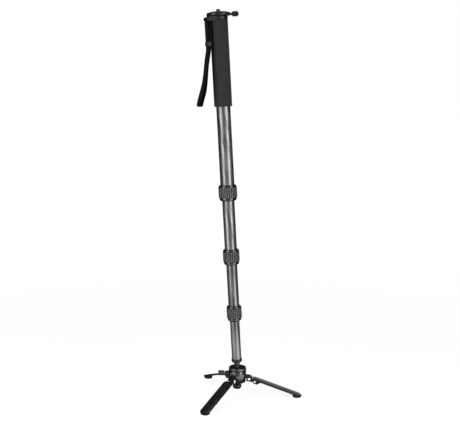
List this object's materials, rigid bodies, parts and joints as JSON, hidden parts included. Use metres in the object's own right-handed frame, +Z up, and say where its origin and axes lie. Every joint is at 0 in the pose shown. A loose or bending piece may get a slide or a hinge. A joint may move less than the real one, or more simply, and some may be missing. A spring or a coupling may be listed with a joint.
{
  "type": "camera monopod",
  "caption": "Telescoping twist-lock camera monopod with foam grip, wrist strap, round stud platform and a ball-jointed foot with short folding legs.",
  "frame": {"origin": "on the floor, under the middle of the whole object's box at rest", "axes": "+Z up, square to the floor the foot pads stand on; +X to the right as seen in the picture, towards leg 2; +Y away from the viewer. The shaft leans 4.3 degrees towards -X at rest, as pictured"},
  "size_m": [0.2559, 0.2658, 0.8826],
  "materials": {
    "carbon_tube": "glossy clear-coated carbon fibre",
    "black_aluminium": "black satin anodised",
    "hub_aluminium": "dark satin anodised",
    "leg_aluminium": "dark satin anodised, fine grain",
    "lock_gloss": "glossy black anodised",
    "lock_rubber": "fine ribbed matt",
    "grip_foam": "matt closed-cell foam",
    "pad_rubber": "matt",
    "webbing": "woven nylon webbing",
    "keeper_plastic": "matt moulded",
    "steel": "turned",
    "stem_aluminium": "dark bright-turned",
    "knob_plastic": "satin moulded, fluted",
    "plug_aluminium": "plain turned",
    "nylon": "plain nylon",
    "brass": "plain"
  },
  "bodies": {
    "hub": {"hub_body": "hub_aluminium", "hub_ring": "hub_aluminium", "hub_cap": "hub_aluminium", "hub_bolt": "steel", "brake_pad": "brass", "leg_brackets": "hub_aluminium", "leg_hinge_pins": "steel"},
    "ball_knob": {"ball_lock_knob": "knob_plastic", "ball_lock_screw": "steel"},
    "leg_1": {"leg_1": "leg_aluminium", "leg_1_pad": "pad_rubber"},
    "leg_2": {"leg_2": "leg_aluminium", "leg_2_pad": "pad_rubber"},
    "leg_3": {"leg_3": "leg_aluminium", "leg_3_pad": "pad_rubber"},
    "seat": {"ball_seat": "nylon"},
    "ball": {"foot_ball": "steel", "ball_stem": "stem_aluminium", "pan_retainer": "steel"},
    "section_4": {"foot_collar": "hub_aluminium", "tube_4": "carbon_tube", "guide_bush_4": "nylon"},
    "section_3": {"tube_3": "carbon_tube", "guide_bush_3": "nylon", "lock_3_sleeve": "plug_aluminium", "lock_3_collet": "nylon"},
    "section_2": {"tube_2": "carbon_tube", "guide_bush_2": "nylon", "lock_2_sleeve": "plug_aluminium", "lock_2_collet": "nylon"},
    "section_1": {"tube_1": "carbon_tube", "lock_1_sleeve": "plug_aluminium", "lock_1_collet": "nylon", "foam_grip": "grip_foam", "top_plug": "plug_aluminium", "neck_collar": "black_aluminium", "platform_plate": "black_aluminium", "platform_pad": "pad_rubber", "plate_screws": "steel", "strap_bracket": "black_aluminium", "strap_pin": "steel"},
    "lock_3": {"lock_3_ring": "lock_gloss", "lock_3_cover": "lock_rubber"},
    "lock_2": {"lock_2_ring": "lock_gloss", "lock_2_cover": "lock_rubber"},
    "lock_1": {"lock_1_ring": "lock_gloss", "lock_1_cover": "lock_rubber"},
    "stud": {"camera_stud": "steel"},
    "stud_knob": {"stud_lock_knob": "black_aluminium", "stud_lock_screw": "steel"},
    "strap": {"wrist_strap": "webbing"},
    "keeper": {"strap_keeper": "keeper_plastic"}
  },
  "joints": [
    {"name": "ball_lock_knob_turn", "type": "hinge", "parent": "hub", "child": "ball_knob", "pos_m": [-0.0587, 0, 0.054], "axis": [-1, 0, 0], "range_deg": [0, 360]},
    {"name": "leg_1_fold", "type": "hinge", "parent": "hub", "child": "leg_1", "pos_m": [-0.04415, -0.03542, 0.0338], "axis": [0.866, -0.5, 0], "range_deg": [0, 75]},
    {"name": "leg_2_fold", "type": "hinge", "parent": "hub", "child": "leg_2", "pos_m": [0.0172, 0, 0.0338], "axis": [0, 1, 0], "range_deg": [0, 75]},
    {"name": "leg_3_fold", "type": "hinge", "parent": "hub", "child": "leg_3", "pos_m": [-0.04415, 0.03542, 0.0338], "axis": [-0.866, -0.5, 0], "range_deg": [0, 75]},
    {"name": "tilt_side", "type": "hinge", "parent": "hub", "child": "seat", "pos_m": [-0.0237, 0, 0.0565], "axis": [0, 1, 0], "range_deg": [-13.7, 22.3]},
    {"name": "tilt_fore", "type": "hinge", "parent": "seat", "child": "ball", "pos_m": [-0.0237, 0, 0.0565], "axis": [1, 0, 0], "range_deg": [-18, 18]},
    {"name": "pan", "type": "hinge", "parent": "ball", "child": "section_4", "pos_m": [-0.0264, 0, 0.0924], "axis": [-0.075, 0, 0.9972], "continuous": true},
    {"name": "slide_lower", "type": "slide", "parent": "section_4", "child": "section_3", "axis": [-0.075, 0, 0.9972], "range_m": [-0.0895, 0.26]},
    {"name": "slide_middle", "type": "slide", "parent": "section_3", "child": "section_2", "axis": [-0.075, 0, 0.9972], "range_m": [-0.0945, 0.223]},
    {"name": "slide_upper", "type": "slide", "parent": "section_2", "child": "section_1", "axis": [-0.075, 0, 0.9972], "range_m": [-0.11, 0.193]},
    {"name": "lock_3_twist", "type": "hinge", "parent": "section_3", "child": "lock_3", "pos_m": [-0.03427, 0, 0.1971], "axis": [-0.075, 0, 0.9972], "range_deg": [0, 120]},
    {"name": "lock_2_twist", "type": "hinge", "parent": "section_2", "child": "lock_2", "pos_m": [-0.04417, 0, 0.32873], "axis": [-0.075, 0, 0.9972], "range_deg": [0, 120]},
    {"name": "lock_1_twist", "type": "hinge", "parent": "section_1", "child": "lock_1", "pos_m": [-0.05527, 0, 0.47631], "axis": [-0.075, 0, 0.9972], "range_deg": [0, 120]},
    {"name": "stud_turn", "type": "hinge", "parent": "section_1", "child": "stud", "pos_m": [-0.08518, 0, 0.87419], "axis": [-0.075, 0, 0.9972], "continuous": true},
    {"name": "stud_knob_turn", "type": "hinge", "parent": "section_1", "child": "stud_knob", "pos_m": [-0.049, 0, 0.8731], "axis": [0.9972, 0, 0.075], "range_deg": [0, 360]},
    {"name": "strap_swing", "type": "hinge", "parent": "section_1", "child": "strap", "pos_m": [-0.10914, -0.01755, 0.85845], "axis": [-0.572, 0.8192, -0.043], "range_deg": [0, 60]},
    {"name": "keeper_slide", "type": "slide", "parent": "strap", "child": "keeper", "axis": [-0.075, 0, 0.9972], "range_m": [0, 0.028]}
  ]
}
